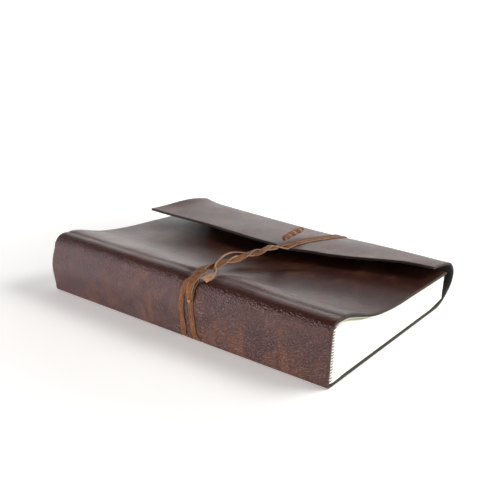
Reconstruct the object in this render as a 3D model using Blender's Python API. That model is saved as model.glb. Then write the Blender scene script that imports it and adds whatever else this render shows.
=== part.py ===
"""Leather wrap cover holding a thick sewn page block, closed by a flap and a tied leather lace.

The cover is one long hide: front cover, spine, back cover, fore-edge band and flap, with a thin lining
inside. It is split at its folds, where the real leather bends, so that each fold can turn.

Frame: +X along the spine, +Y from the spine to the fore-edge, +Z up. The book lies on its back cover,
at Z = 0, and the origin is the middle of the underside. Metres.
"""

import math

import bmesh
import bpy
from mathutils import Vector

MM = 0.001
SHARP_ANGLE = math.radians(40)   # edges sharper than this aren't shaded smooth

# ---------------------------------------------------------------- driving dimensions
LENGTH = 300 * MM                # along the spine
LEATHER = 1.4 * MM               # outer hide
LINING = 0.8 * MM                # thin inner leather
GAP = 0.3 * MM                   # between touching pieces
FOLD_GAP = 1.2 * MM              # on the outside, between the panels that meet at a fold
LINING_DEPTH = LEATHER + GAP     # from the outer surface to the lining
COVER_DEPTH = LINING_DEPTH + LINING

SPINE_FACE_Y = -2.0 * MM         # outer face of the spine, before centring
SPINE_TOP_Z = 53.2 * MM          # outer surface at the top shoulder
SHOULDER_RADIUS = 7.0 * MM
CENTRE_Y = 116.38 * MM           # moves the whole book so that its box is centred on the origin

FOLD_RADIUS = 40.0 * MM          # gentle rise from the back cover to the fore-edge band
BAND_RADIUS = 18.0 * MM          # the band's round outer side
BAND_TOP_Z = 44.4 * MM
BAND_OUT_Y = 238.3 * MM
RISE_ANGLE = 32.0                # slope of the leather where the band begins, degrees
FLAP_ANGLE = 173.5               # direction of the flap as it leaves the band, degrees
FLAP_EDGE_LEFT_Y = 131.0 * MM    # the flap is wide at the left
FLAP_EDGE_RIGHT_Y = 185.0 * MM   # and narrow at the right
FLAP_CURVE_START_X = 165.0 * MM  # its free edge is straight up to here

# Front cover from shoulder to free edge: (y, height at the right end, height at the left end), mm.
# It rides over the thick sewn spine side and dips to the thinner fore-edge side.
COVER_OUTLINE = (
    (9, 53.4, 54.4),
    (18, 53.1, 54.8),
    (29, 51.3, 53.4),
    (42, 47.4, 50.2),
    (56, 42.6, 46.8),
    (70, 39.0, 44.6),
    (88, 36.3, 42.9),
    (110, 34.4, 41.7),
    (140, 33.6, 40.7),
    (180, 33.1, 39.6),
    (219, 32.6, 38.6),
)

SECTIONS = 19                    # folded and sewn gatherings of leaves
BLOCK_INSET = 1.0 * MM           # page block shorter than the cover at each end
BLOCK_SPINE_Y = 3.2 * MM
BLOCK_FORE_Y = 216.0 * MM
PAPER_SHEET = 0.4 * MM           # an endpaper
FOLD_NOSE = 2.6 * MM             # depth of a section's rounded fold
LEFT_SLACK = 1.6 * MM            # the cover stands this much off the pages at its left corner

MULL = 0.5 * MM                  # glued cloth over the section backs
TAPE = 0.5 * MM                  # linen tapes that the sections are sewn to
TAPE_WIDTH = 14.0 * MM
TAPES_X = (40 * MM, 113 * MM, 187 * MM, 260 * MM)
MULL_TOP_Z = 47.4 * MM

LACE_WIDTH = 4.8 * MM
LACE = 1.2 * MM                  # lace thickness
LACE_CHANNEL = 1.1 * MM          # how deep the lace is pressed into the underside
LACE_UNDER_Y = 1.0 * MM          # where the strands turn under the spine's bottom corner
LACE_CORNER = 48.0               # how far the spine strands follow that corner, degrees
LACE_TOP = 168.0                 # where they end on the shoulder, clear of the opened cover, degrees
LACE_FOLD_ROOM = 1.0 * MM        # cut from a strand at a fold, where opening closes its outer side
# Where the two strands cross the spine's top and bottom and the fore-edge: X, mm.
STRAND_TOP_X = (159.5, 169.0)
STRAND_BOTTOM_X = (161.5, 173.5)
STRAND_FORE_X = (175.5, 182.0)
STRAND_EDGE_X = (166.5, 174.0)   # at the flap's free edge

LINING_JOINT_Y = 112.0 * MM      # the back lining is two pieces that meet here

STATION_X = tuple(LENGTH * share / 4 for share in range(5))
ARC_STEPS = 4                    # straight pieces along half of a fold


# ---------------------------------------------------------------- outlines, as (y, z) in the YZ plane
def arc(centre, radius, first, last, steps):
    """Points on a circle from one angle to another, both in degrees."""
    angles = [math.radians(first + (last - first) * i / steps) for i in range(steps + 1)]
    return [(centre[0] + radius * math.cos(a), centre[1] + radius * math.sin(a)) for a in angles]


def inside(outline, depth):
    """The outline moved by depth to its left, which is the side of the page block."""
    moved = []
    for i, point in enumerate(outline):
        before = Vector(outline[max(i - 1, 0)])
        after = Vector(outline[min(i + 1, len(outline) - 1)])
        along = (after - before).normalized()
        moved.append((point[0] - along.y * depth, point[1] + along.x * depth))
    return moved


def smooth(share):
    share = min(max(share, 0.0), 1.0)
    return share * share * (3 - 2 * share)


SHOULDER = (SPINE_FACE_Y + SHOULDER_RADIUS, SPINE_TOP_Z - SHOULDER_RADIUS)
BOTTOM_CORNER = (SPINE_FACE_Y + SHOULDER_RADIUS, SHOULDER_RADIUS)
BAND_CENTRE = (BAND_OUT_Y - BAND_RADIUS, BAND_TOP_Z - BAND_RADIUS)
# The straight run between the rise and the band touches both of their circles.
RUN = (BAND_CENTRE[1] - FOLD_RADIUS + (FOLD_RADIUS - BAND_RADIUS) * math.cos(math.radians(RISE_ANGLE))) / (
    math.sin(math.radians(RISE_ANGLE)))
RISE_Y = BAND_CENTRE[0] - RUN * math.cos(math.radians(RISE_ANGLE)) - (
    (FOLD_RADIUS - BAND_RADIUS) * math.sin(math.radians(RISE_ANGLE)))
RISE_CENTRE = (RISE_Y, FOLD_RADIUS)

# Position angles of the four folds that turn, on their circles.
COVER_FOLD = 135.0
RISE_FOLD = -90 + RISE_ANGLE / 2
BAND_TURN = (FLAP_ANGLE - RISE_ANGLE) / 2
BAND_FOLD = -90 + RISE_ANGLE + BAND_TURN / 2
FLAP_FOLD = BAND_FOLD + BAND_TURN


def half_gap(radius):
    """Half of FOLD_GAP as an angle on a circle of this radius."""
    return math.degrees(FOLD_GAP / 2 / radius)


def cover_outline(x):
    """Outer surface of the front cover, from its free edge to the fold at the shoulder."""
    share = x / LENGTH
    top = [(y * MM, (right * share + left * (1 - share)) * MM) for y, right, left in reversed(COVER_OUTLINE)]
    return top + arc(SHOULDER, SHOULDER_RADIUS, 90, COVER_FOLD - half_gap(SHOULDER_RADIUS), ARC_STEPS)


def spine_outline(x):
    """Outer surface of the spine, from the fold at the shoulder to the back cover's flat."""
    upper = arc(SHOULDER, SHOULDER_RADIUS, COVER_FOLD + half_gap(SHOULDER_RADIUS), 180, ARC_STEPS)
    return upper + arc(BOTTOM_CORNER, SHOULDER_RADIUS, 180, 270, 2 * ARC_STEPS)


def back_outline(x):
    """Outer surface of the back cover, from the spine's corner to the fold where the band begins."""
    rise = arc(RISE_CENTRE, FOLD_RADIUS, -90, RISE_FOLD - half_gap(FOLD_RADIUS), ARC_STEPS)
    return [(BOTTOM_CORNER[0] + GAP, 0.0)] + rise


def band_lower_outline(x):
    rise = arc(RISE_CENTRE, FOLD_RADIUS, RISE_FOLD + half_gap(FOLD_RADIUS), -90 + RISE_ANGLE, ARC_STEPS)
    turn = arc(BAND_CENTRE, BAND_RADIUS, -90 + RISE_ANGLE, BAND_FOLD - half_gap(BAND_RADIUS), ARC_STEPS)
    return rise + turn


def band_upper_outline(x):
    first = BAND_FOLD + half_gap(BAND_RADIUS)
    return arc(BAND_CENTRE, BAND_RADIUS, first, FLAP_FOLD - half_gap(BAND_RADIUS), 2 * ARC_STEPS)


def flap_edge_y(x):
    """Where the flap's free edge is at x: straight, then a long curve towards the fore-edge."""
    share = smooth((x - FLAP_CURVE_START_X) / (LENGTH - FLAP_CURVE_START_X))
    return FLAP_EDGE_LEFT_Y + (FLAP_EDGE_RIGHT_Y - FLAP_EDGE_LEFT_Y) * share


def flap_outline(x):
    turn = arc(BAND_CENTRE, BAND_RADIUS, FLAP_FOLD + half_gap(BAND_RADIUS), FLAP_ANGLE - 90, ARC_STEPS)
    leave = Vector(turn[-1])
    along = Vector((math.cos(math.radians(FLAP_ANGLE)), math.sin(math.radians(FLAP_ANGLE))))
    reach = (flap_edge_y(x) - leave.x) / along.x
    return turn + [tuple(leave + along * reach * share) for share in (0.5, 1.0)]


def fold_point(centre, radius, angle):
    """A fold's hinge line, on the leather's outer surface, as (y, z)."""
    return arc(centre, radius, angle, angle, 1)[0]


# ---------------------------------------------------------------- materials
def material(name, colour, roughness):
    made = bpy.data.materials.new(name)
    made.use_nodes = True
    shader = made.node_tree.nodes["Principled BSDF"]
    shader.inputs["Base Color"].default_value = (*colour, 1.0)
    shader.inputs["Roughness"].default_value = roughness
    shader.inputs["Metallic"].default_value = 0.0
    made.diffuse_color = (*colour, 1.0)
    return made


# ---------------------------------------------------------------- building blocks
def place(name, mesh, looks, hinge=None):
    """Puts a mesh made in book coordinates into the scene, centred, with its origin on its hinge line."""
    shift = Vector((-LENGTH / 2, -CENTRE_Y, 0))
    origin = Vector((0, 0, 0)) if hinge is None else Vector((0, *hinge)) + Vector((0, shift.y, 0))
    for vertex in mesh.vertices:
        vertex.co += shift - origin
    made = bpy.data.objects.new(name, mesh)
    made.location = origin
    colour, roughness = looks
    mesh.materials.append(material(name, colour, roughness))
    bpy.context.collection.objects.link(made)
    return made


def grid_mesh(name, rows):
    """A sheet of quads through rows of points."""
    shape = bmesh.new()
    lines = [[shape.verts.new(point) for point in row] for row in rows]
    for line, following in zip(lines, lines[1:]):
        for i in range(len(line) - 1):
            shape.faces.new((line[i], line[i + 1], following[i + 1], following[i]))
    mesh = bpy.data.meshes.new(name)
    shape.to_mesh(mesh)
    shape.free()
    return mesh


def shade_round(mesh):
    mesh.shade_smooth()
    mesh.set_sharp_from_angle(angle=SHARP_ANGLE)


def thicken(made, thickness, offset):
    solid = made.modifiers.new("thickness", "SOLIDIFY")
    solid.thickness = thickness
    solid.offset = offset
    solid.use_even_offset = True
    return made


def panel(name, outline, depth, thickness, looks, stations=STATION_X, hinge=None):
    """A sheet of leather along X whose outer side lies depth inside the outline."""
    rows = [[(x, y, z) for y, z in inside(outline(x), depth)] for x in stations]
    made = place(name, grid_mesh(name, rows), looks, hinge)
    shade_round(made.data)
    return thicken(made, thickness, -1)


def block_solid(name, first, last, looks):
    """A solid between two closed outlines, one at each end of the page block."""
    shape = bmesh.new()
    ends = []
    for x, outline in ((BLOCK_INSET, first), (LENGTH - BLOCK_INSET, last)):
        ends.append([shape.verts.new((x, y, z)) for y, z in outline])
    count = len(ends[0])
    for i in range(count):
        j = (i + 1) % count
        a, b, c, d = ends[0][i], ends[0][j], ends[1][j], ends[1][i]
        # The sides are slightly twisted, so neighbours are split along the same diagonal.
        corners = ((a, b, c), (a, c, d)) if b.co.y >= a.co.y else ((a, b, d), (b, c, d))
        for triangle in corners:
            shape.faces.new(triangle)
    half = count // 2
    for end in ends:
        for i in range(half - 1):
            shape.faces.new((end[i], end[i + 1], end[count - 2 - i], end[count - 1 - i]))
    bmesh.ops.recalc_face_normals(shape, faces=shape.faces)
    mesh = bpy.data.meshes.new(name)
    shape.to_mesh(mesh)
    shape.free()
    return place(name, mesh, looks)


def box_between(name, low, high, looks):
    """A plain thin strip, such as a tape."""
    mesh = bpy.data.meshes.new(name)
    shape = bmesh.new()
    bmesh.ops.create_cube(shape, size=1.0)
    size = Vector(high) - Vector(low)
    middle = (Vector(high) + Vector(low)) / 2
    for vertex in shape.verts:
        vertex.co = Vector((vertex.co.x * size.x, vertex.co.y * size.y, vertex.co.z * size.z)) + middle
    shape.to_mesh(mesh)
    shape.free()
    return place(name, mesh, looks)


def ribbon(name, route, faces, looks, width=LACE_WIDTH, hinge=None):
    """A flat lace whose middle line follows route and whose broad side faces along faces."""
    rows = []
    for i, point in enumerate(route):
        along = (route[min(i + 1, len(route) - 1)] - route[max(i - 1, 0)]).normalized()
        across = along.cross(faces[i]).normalized() * width / 2
        rows.append([tuple(point - across), tuple(point + across)])
    made = place(name, grid_mesh(name, rows), looks, hinge)
    shade_round(made.data)
    return thicken(made, LACE, 0)


# ---------------------------------------------------------------- looks: colour and roughness
HIDE = ((0.075, 0.034, 0.024), 0.42)
DARK_LINING = ((0.022, 0.016, 0.014), 0.75)
PAGES = ((0.88, 0.85, 0.76), 0.9)
ENDPAPER = ((0.80, 0.77, 0.62), 0.9)
CLOTH = ((0.74, 0.68, 0.52), 0.95)
THONG = ((0.19, 0.085, 0.042), 0.7)


# ---------------------------------------------------------------- sub-parts
def leather_wrap():
    """The outer hide, in the pieces that its folds divide it into. Returns those that the lace runs under."""
    panel("front_cover_leather", cover_outline, 0, LEATHER, HIDE, hinge=COVER_HINGE)
    spine = panel("spine_leather", spine_outline, 0, LEATHER, HIDE)
    back = panel("back_cover_leather", back_outline, 0, LEATHER, HIDE)
    panel("band_lower_leather", band_lower_outline, 0, LEATHER, HIDE, hinge=RISE_HINGE)
    panel("band_upper_leather", band_upper_outline, 0, LEATHER, HIDE, hinge=BAND_HINGE)
    panel("flap_leather", flap_outline, 0, LEATHER, HIDE, FLAP_STATION_X, FLAP_HINGE)
    return spine, back


def linings():
    """The thin dark leather inside each piece of the hide."""
    panel("front_cover_lining", cover_outline, LINING_DEPTH, LINING, DARK_LINING, hinge=COVER_HINGE)
    panel("spine_lining", spine_outline, LINING_DEPTH, LINING, DARK_LINING)
    panel("band_lower_lining", band_lower_outline, LINING_DEPTH, LINING, DARK_LINING, hinge=RISE_HINGE)
    panel("band_upper_lining", band_upper_outline, LINING_DEPTH, LINING, DARK_LINING, hinge=BAND_HINGE)
    panel("flap_lining", flap_outline, LINING_DEPTH, LINING, DARK_LINING, FLAP_STATION_X, FLAP_HINGE)

    def spine_side(x):
        return [(BOTTOM_CORNER[0] + GAP, 0.0), (LINING_JOINT_Y, 0.0)]

    def fore_side(x):
        return [(LINING_JOINT_Y + GAP, 0.0)] + back_outline(x)[1:]

    panel("back_lining_spine_side", spine_side, LINING_DEPTH, LINING, DARK_LINING)
    panel("back_lining_fore_side", fore_side, LINING_DEPTH, LINING, DARK_LINING)


def block_heights(x):
    """(y, lowest, highest) of the sewn sections along the page block at x."""
    depth = COVER_DEPTH + GAP + PAPER_SHEET + GAP
    share = x / LENGTH
    heights = []
    for y, right, left in COVER_OUTLINE:
        cover = (right * share + left * (1 - share)) * MM
        slack = LEFT_SLACK * (1 - share) * smooth(y / COVER_OUTLINE[-1][0])
        station_y = min(y * MM, BLOCK_FORE_Y)
        past_rise = max(station_y - RISE_Y, 0.0)
        low = FOLD_RADIUS - math.sqrt((FOLD_RADIUS - depth) ** 2 - past_rise ** 2)
        heights.append((station_y, low, cover - depth - slack))
    return heights


def section_outline(x, number):
    """Closed outline of one folded section: a rounded fold, then a long wedge to the fore-edge."""
    lower, upper = [], []
    for y, low, high in block_heights(x):
        pitch = (high - low) / SECTIONS
        lower.append((y, low + pitch * number + GAP / 2))
        upper.append((y, low + pitch * (number + 1) - GAP / 2))
    first_y, first_low, first_high = block_heights(x)[0]
    spine_high = min(first_high, SPINE_TOP_Z - COVER_DEPTH - 2.4 * MM)
    pitch = (spine_high - first_low) / SECTIONS
    middle = first_low + pitch * (number + 0.5)
    for y, share in ((BLOCK_SPINE_Y + FOLD_NOSE, 0.5), (BLOCK_SPINE_Y + FOLD_NOSE * 0.3, 0.38), (BLOCK_SPINE_Y, 0.2)):
        lower.insert(0, (y, middle - pitch * share + GAP / 4))
        upper.insert(0, (y, middle + pitch * share - GAP / 4))
    return lower + upper[::-1]


def page_block():
    """The sewn gatherings and the endpaper on each side of them."""
    for number in range(SECTIONS):
        first = section_outline(BLOCK_INSET, number)
        last = section_outline(LENGTH - BLOCK_INSET, number)
        block_solid(f"page_section_{number + 1:02d}", first, last, PAGES)

    def sheet_outline(x, top):
        line = []
        for y, low, high in block_heights(x):
            line.append((y, high + GAP / 2 if top else low - GAP / 2 - PAPER_SHEET))
        return line + [(y, z + PAPER_SHEET) for y, z in reversed(line)]

    for name, top in (("front_endpaper", True), ("back_endpaper", False)):
        ends = [sheet_outline(x, top) for x in (BLOCK_INSET, LENGTH - BLOCK_INSET)]
        block_solid(name, *ends, ENDPAPER)


def spine_bindings():
    """Glued mull and sewing tapes between the section backs and the spine lining."""
    mull_y = SPINE_FACE_Y + COVER_DEPTH + GAP
    tape_y = mull_y + MULL + GAP
    low_z = SHOULDER_RADIUS
    ends = (BLOCK_INSET, LENGTH - BLOCK_INSET)
    box_between("spine_mull", (ends[0], mull_y, low_z), (ends[1], mull_y + MULL, MULL_TOP_Z), CLOTH)
    for number, x in enumerate(TAPES_X):
        low = (x - TAPE_WIDTH / 2, tape_y, low_z)
        high = (x + TAPE_WIDTH / 2, tape_y + TAPE, MULL_TOP_Z)
        box_between(f"sewing_tape_{number + 1}", low, high, CLOTH)


# ---------------------------------------------------------------- the lace
def along_outline(outline, lift, first_x, last_x):
    """A lace lying outside an outline: its middle line and the directions that its broad side faces."""
    outer = inside(outline, -(lift + LACE / 2))
    route, faces = [], []
    for i, (y, z) in enumerate(outer):
        share = i / (len(outer) - 1)
        route.append(Vector((first_x + (last_x - first_x) * share, y, z)))
        before = Vector(outer[max(i - 1, 0)])
        after = Vector(outer[min(i + 1, len(outer) - 1)])
        along = (after - before).normalized()
        faces.append(Vector((0, along.y, -along.x)))
    return route, faces


def strand_x(pair, side):
    return pair[side] * MM


def shortened(route):
    """The route with LACE_FOLD_ROOM taken off each end."""
    ends = []
    for end, following in ((route[0], route[1]), (route[-1], route[-2])):
        ends.append(end + (following - end).normalized() * LACE_FOLD_ROOM)
    return [ends[0]] + route[1:-1] + [ends[1]]


def lace_on_spine(side):
    shoulder = arc(SHOULDER, SHOULDER_RADIUS, LACE_TOP, 180, ARC_STEPS // 2)
    corner = arc(BOTTOM_CORNER, SHOULDER_RADIUS, 180, 180 + LACE_CORNER, ARC_STEPS)
    outline = shoulder + corner
    first, last = strand_x(STRAND_TOP_X, side), strand_x(STRAND_BOTTOM_X, side)
    route, faces = along_outline(outline, GAP, first, last)
    ribbon(f"lace_spine_{side + 1}", route, faces, THONG)


def lace_on_band(side):
    """The strands round the fore-edge, in the pieces that the folds divide them into."""
    x = strand_x(STRAND_FORE_X, side)
    parts = (
        ("lower", band_lower_outline, RISE_HINGE),
        ("upper", band_upper_outline, BAND_HINGE),
    )
    for part, outline, hinge in parts:
        route, faces = along_outline(outline(0), GAP, x, x)
        ribbon(f"lace_band_{part}_{side + 1}", shortened(route), faces, THONG, hinge=hinge)


def lace_on_flap(side):
    """From the fore-edge fold to the flap's free edge."""
    outline = flap_outline(strand_x(STRAND_EDGE_X, side))
    first, last = strand_x(STRAND_FORE_X, side), strand_x(STRAND_EDGE_X, side)
    turn = ARC_STEPS + 1
    route, faces = along_outline(outline, GAP, first, last)
    start = route[turn - 1]
    start.x = first
    for i in range(turn):
        route[i].x = first
    for i in range(turn, len(route)):
        share = (route[i].y - start.y) / (route[-1].y - start.y)
        route[i].x = first + (last - first) * share
    ribbon(f"lace_flap_{side + 1}", shortened(route), faces, THONG, hinge=FLAP_HINGE)


def lace_under(panels):
    """The strands under the back cover, pressed into channels so that the underside stays flat."""
    first_y, last_y = LACE_UNDER_Y, RISE_Y
    channel_half = LACE_WIDTH / 2 + GAP
    for side in range(2):
        first_x, last_x = strand_x(STRAND_BOTTOM_X, side), strand_x(STRAND_FORE_X, side)
        height = (LACE_CHANNEL - GAP) / 2
        route = [Vector((first_x, first_y, height)), Vector((last_x, last_y, height))]
        made = ribbon(f"lace_under_{side + 1}", route, [Vector((0, 0, -1))] * 2, THONG)
        made.modifiers["thickness"].thickness = 2 * height
        slope = (last_x - first_x) / (last_y - first_y)
        overrun = 30 * MM
        ends = []
        for y in (first_y - overrun, last_y + overrun):
            ends.append(Vector((first_x + slope * (y - first_y), y, 0)))
        across = (ends[1] - ends[0]).cross(Vector((0, 0, 1))).normalized() * channel_half
        rows = [[tuple(end - across), tuple(end + across)] for end in ends]
        name = f"channel_cutter_{side + 1}"
        cutter = place(name, grid_mesh(name, rows), THONG)
        thicken(cutter, 2 * LACE_CHANNEL, 0)
        cutter.hide_render = True
        cutter.display_type = "WIRE"
        for leather in panels:
            cut = leather.modifiers.new(name, "BOOLEAN")
            cut.operation = "DIFFERENCE"
            cut.solver = "EXACT"
            cut.object = cutter


def twisted_route(points, phase, turns):
    """One strand of a twisted pair along a smooth line, with the way that its broad side faces."""
    route, faces = [], []
    steps = len(points) - 1
    for i, point in enumerate(points):
        along = (points[min(i + 1, steps)] - points[max(i - 1, 0)]).normalized()
        side = along.cross(Vector((0, 0, 1))).normalized()
        up = side.cross(along)
        angle = phase + 2 * math.pi * turns * i / steps
        away = side * math.cos(angle) + up * math.sin(angle)
        route.append(point + away * TWIST_OFFSET)
        faces.append(away)
    return route, faces


def smooth_line(controls, steps):
    """Points on a smooth curve through the control points."""
    line = []
    last = len(controls) - 1
    for i in range(last):
        ends = [controls[min(max(i + k, 0), last)] for k in (-1, 0, 1, 2)]
        a, b, c, d = [Vector(p) for p in ends]
        for k in range(steps):
            t = k / steps
            line.append(0.5 * (2 * b + (c - a) * t + (2 * a - 5 * b + 4 * c - d) * t * t
                               + (3 * b - a - 3 * c + d) * t ** 3))
    return line + [Vector(controls[-1])]


TWIST_OFFSET = LACE / 2 + 1.4 * GAP

# Routes by hand, in mm: (x, y, z) in book coordinates.
BUNDLE_ROUTE = (
    (160.5, 9, 57.2), (160, 16, 57.2), (161.5, 29, 57.0), (164.3, 43, 57.0), (165.8, 67, 56.0),
    (166.8, 88, 55.6), (169, 104, 55.6), (171, 127.5, 56.2),
)
LOOP_TAIL_ROUTE = (
    (166, 66, 59.8), (159.5, 62, 60.2), (158.8, 54, 60.4), (161.3, 46, 60.6), (167, 34, 60.6),
    (174, 22, 59.6), (178.5, 13, 57.8), (180, 4, 56.2),
)
FLAT_TAIL_ROUTE = ((169.2, -5.8, 47), (168.8, -6.2, 43), (168.9, -6.2, 39), (169.2, -6.4, 35))
COIL_TAIL_ROUTE = (
    (166.3, 137, 59.2), (163.2, 147, 58.0), (160.5, 158, 56.0), (158.2, 172, 54.4), (156.5, 185, 53.0),
)
COIL_RADIUS = 3.0 * MM


def in_metres(route):
    return [tuple(value * MM for value in point) for point in route]


def lace_over_cover():
    """The twisted pair from the shoulder to the flap's edge, and the tails that hang from the knot."""
    middle = smooth_line(in_metres(BUNDLE_ROUTE), 4)
    for side in range(2):
        route, faces = twisted_route(middle, math.pi * side, 1.5)
        ribbon(f"lace_cover_{side + 1}", route, faces, THONG, hinge=COVER_HINGE)
    up = Vector((0, 0, 1))
    route = smooth_line(in_metres(LOOP_TAIL_ROUTE), 3)
    ribbon("lace_loop_tail", route, [up] * len(route), THONG, hinge=COVER_HINGE)
    route = smooth_line(in_metres(FLAT_TAIL_ROUTE), 2)
    ribbon("lace_flat_tail", route, [Vector((0, -1, 0))] * len(route), THONG)


def coil_tail():
    """Outer shape of the tail that is wound round itself and lies on the flap."""
    shift = Vector((-LENGTH / 2, -CENTRE_Y, 0))
    hinge = Vector((0, *FLAP_HINGE)) + Vector((0, shift.y, 0))
    line = smooth_line(in_metres(COIL_TAIL_ROUTE), 2)
    data = bpy.data.curves.new("lace_coil_tail", "CURVE")
    data.dimensions = "3D"
    spline = data.splines.new("POLY")
    spline.points.add(len(line) - 1)
    for point, place_at in zip(spline.points, line):
        point.co = (*(place_at + shift - hinge), 1.0)
    data.bevel_depth = COIL_RADIUS
    data.bevel_resolution = 2
    data.use_fill_caps = True
    made = bpy.data.objects.new("lace_coil_tail", data)
    made.location = hinge
    data.materials.append(material("lace_coil_tail", *THONG))
    bpy.context.collection.objects.link(made)


COVER_HINGE = fold_point(SHOULDER, SHOULDER_RADIUS, COVER_FOLD)
RISE_HINGE = fold_point(RISE_CENTRE, FOLD_RADIUS, RISE_FOLD)
BAND_HINGE = fold_point(BAND_CENTRE, BAND_RADIUS, BAND_FOLD)
FLAP_HINGE = fold_point(BAND_CENTRE, BAND_RADIUS, FLAP_FOLD)
FLAP_STATION_X = tuple(FLAP_CURVE_START_X * i / 3 for i in range(3)) + tuple(
    FLAP_CURVE_START_X + (LENGTH - FLAP_CURVE_START_X) * i / 9 for i in range(10))


def main():
    for old in list(bpy.data.objects):
        bpy.data.objects.remove(old)
    pressed = leather_wrap()
    linings()
    page_block()
    spine_bindings()
    for side in range(2):
        lace_on_spine(side)
        lace_on_band(side)
        lace_on_flap(side)
    lace_under(pressed)
    lace_over_cover()
    coil_tail()


main()
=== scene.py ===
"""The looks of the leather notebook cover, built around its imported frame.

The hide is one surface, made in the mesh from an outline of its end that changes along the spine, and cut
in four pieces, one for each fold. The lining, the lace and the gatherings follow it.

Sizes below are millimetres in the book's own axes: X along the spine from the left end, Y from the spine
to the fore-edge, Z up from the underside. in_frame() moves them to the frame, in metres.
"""

import math

import bpy
import numpy as np
from mathutils import Matrix, Vector


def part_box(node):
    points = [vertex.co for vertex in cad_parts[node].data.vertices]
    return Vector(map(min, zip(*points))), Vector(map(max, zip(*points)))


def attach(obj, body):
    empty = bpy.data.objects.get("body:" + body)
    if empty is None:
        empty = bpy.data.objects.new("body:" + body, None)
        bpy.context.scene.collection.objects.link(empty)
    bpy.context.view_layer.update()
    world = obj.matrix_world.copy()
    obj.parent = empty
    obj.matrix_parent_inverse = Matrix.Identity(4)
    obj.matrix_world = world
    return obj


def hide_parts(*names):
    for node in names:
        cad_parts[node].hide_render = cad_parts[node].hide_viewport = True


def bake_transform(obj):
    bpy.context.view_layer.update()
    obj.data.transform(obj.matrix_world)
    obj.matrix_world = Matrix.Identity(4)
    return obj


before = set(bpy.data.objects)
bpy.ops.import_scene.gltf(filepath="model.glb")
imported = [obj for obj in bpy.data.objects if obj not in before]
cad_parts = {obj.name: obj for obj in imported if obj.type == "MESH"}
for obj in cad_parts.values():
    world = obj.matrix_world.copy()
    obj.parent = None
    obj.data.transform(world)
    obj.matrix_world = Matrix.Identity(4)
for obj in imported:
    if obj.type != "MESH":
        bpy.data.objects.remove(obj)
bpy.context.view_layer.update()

MM = 0.001

# ---------------------------------------------------------------- sizes shared with the frame
SPINE_FACE_Y = -2.0
LENGTH = (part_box("spine_leather")[1].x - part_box("spine_leather")[0].x) / MM
ORIGIN = Vector((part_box("spine_leather")[0].x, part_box("spine_leather")[0].y - SPINE_FACE_Y * MM, 0))
BAND_OUT_Y = (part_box("band_upper_leather")[1].y - ORIGIN.y) / MM
COVER_EDGE_Y = (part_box("front_cover_leather")[1].y - ORIGIN.y) / MM
BLOCK_FORE_Y = (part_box("page_section_01")[1].y - ORIGIN.y) / MM
BLOCK_SPINE_Y = (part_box("page_section_10")[0].y - ORIGIN.y) / MM
BLOCK_INSET = (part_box("page_section_01")[0].x - ORIGIN.x) / MM

LEATHER = 1.4
LINING = 0.8
GAP = 0.3
LINING_DEPTH = LEATHER + 0.12
COVER_DEPTH = LEATHER + GAP + LINING
SPINE_TOP_Z = 53.2
SHOULDER_RADIUS = 8.8            # at the right end
SHOULDER_SWELL = 3.0             # added to it at the left end
CORNER_RADIUS = 3.6              # at the spine's bottom edge
FOLD_RADIUS = 40.0
BAND_RADIUS = 18.0
BAND_CENTRE = (BAND_OUT_Y - BAND_RADIUS, 26.4)
RISE_ANGLE = 32.0
LINING_JOINT_Y = 112.0

# Front cover from shoulder to free edge: (y, height at the right end, height at the left end).
COVER_OUTLINE = (
    (5, 53.2, 54.2), (9, 53.5, 54.9), (18, 53.1, 54.8), (29, 51.3, 53.4), (42, 47.4, 50.2),
    (56, 42.6, 46.8), (70, 39.0, 44.6), (88, 36.3, 42.9), (110, 34.4, 41.7), (140, 33.6, 40.7),
    (180, 33.1, 39.6), (219, 32.4, 38.4),
)
# Height of the band's top over its middle, and of the flap's free edge over the underside, along X.
BAND_RISE = ((0, 22.6), (9, 20.4), (35, 18.4), (62, 17.2), (90, 16.2), (118, 15.3), (155, 14.4),
             (190, 14.6), (220, 15.1), (260, 15.0), (300, 15.2))
FLAP_EDGE_Z = ((0, 54.8), (31, 54.0), (62, 53.6), (98, 52.6), (133, 51.6), (158, 51.0), (172, 49.6),
               (192, 50.0), (210, 49.0), (240, 48.2), (270, 47.9), (300, 47.1))
FLAP_EDGE_Y = ((0, 130.6), (60, 131.4), (120, 131.6), (165, 131.6), (185, 135.0), (205, 142.4),
               (223, 150.6), (241, 161.2), (262, 173.6), (280, 181.0), (300, 184.8))

# ---------------------------------------------------------------- the lace
LACE_WIDTH = 4.8
LACE = 1.5
LACE_LIFT = 0.05
# Where each of the two strands lies: X at a height on the spine, and at a distance Y over the flap.
SPINE_STRANDS = (
    ((0, 162.5), (5, 161.2), (22, 159.4), (38, 158.8), (47, 160.6), (52, 163.0), (54, 165.0)),
    ((0, 176.4), (5, 173.2), (22, 169.9), (38, 168.4), (47, 169.0), (52, 170.5), (54, 171.6)),
)
FLAP_STRANDS = (
    ((128, 165.9), (140, 166.8), (160, 168.0), (182, 170.2), (203, 173.2), (225, 175.6)),
    ((128, 174.4), (140, 173.0), (160, 173.4), (182, 175.8), (203, 178.9), (225, 182.0)),
)
BAND_STRAND_X = (175.6, 182.0)
UNDER_START_X = (162.5, 176.4)
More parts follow.
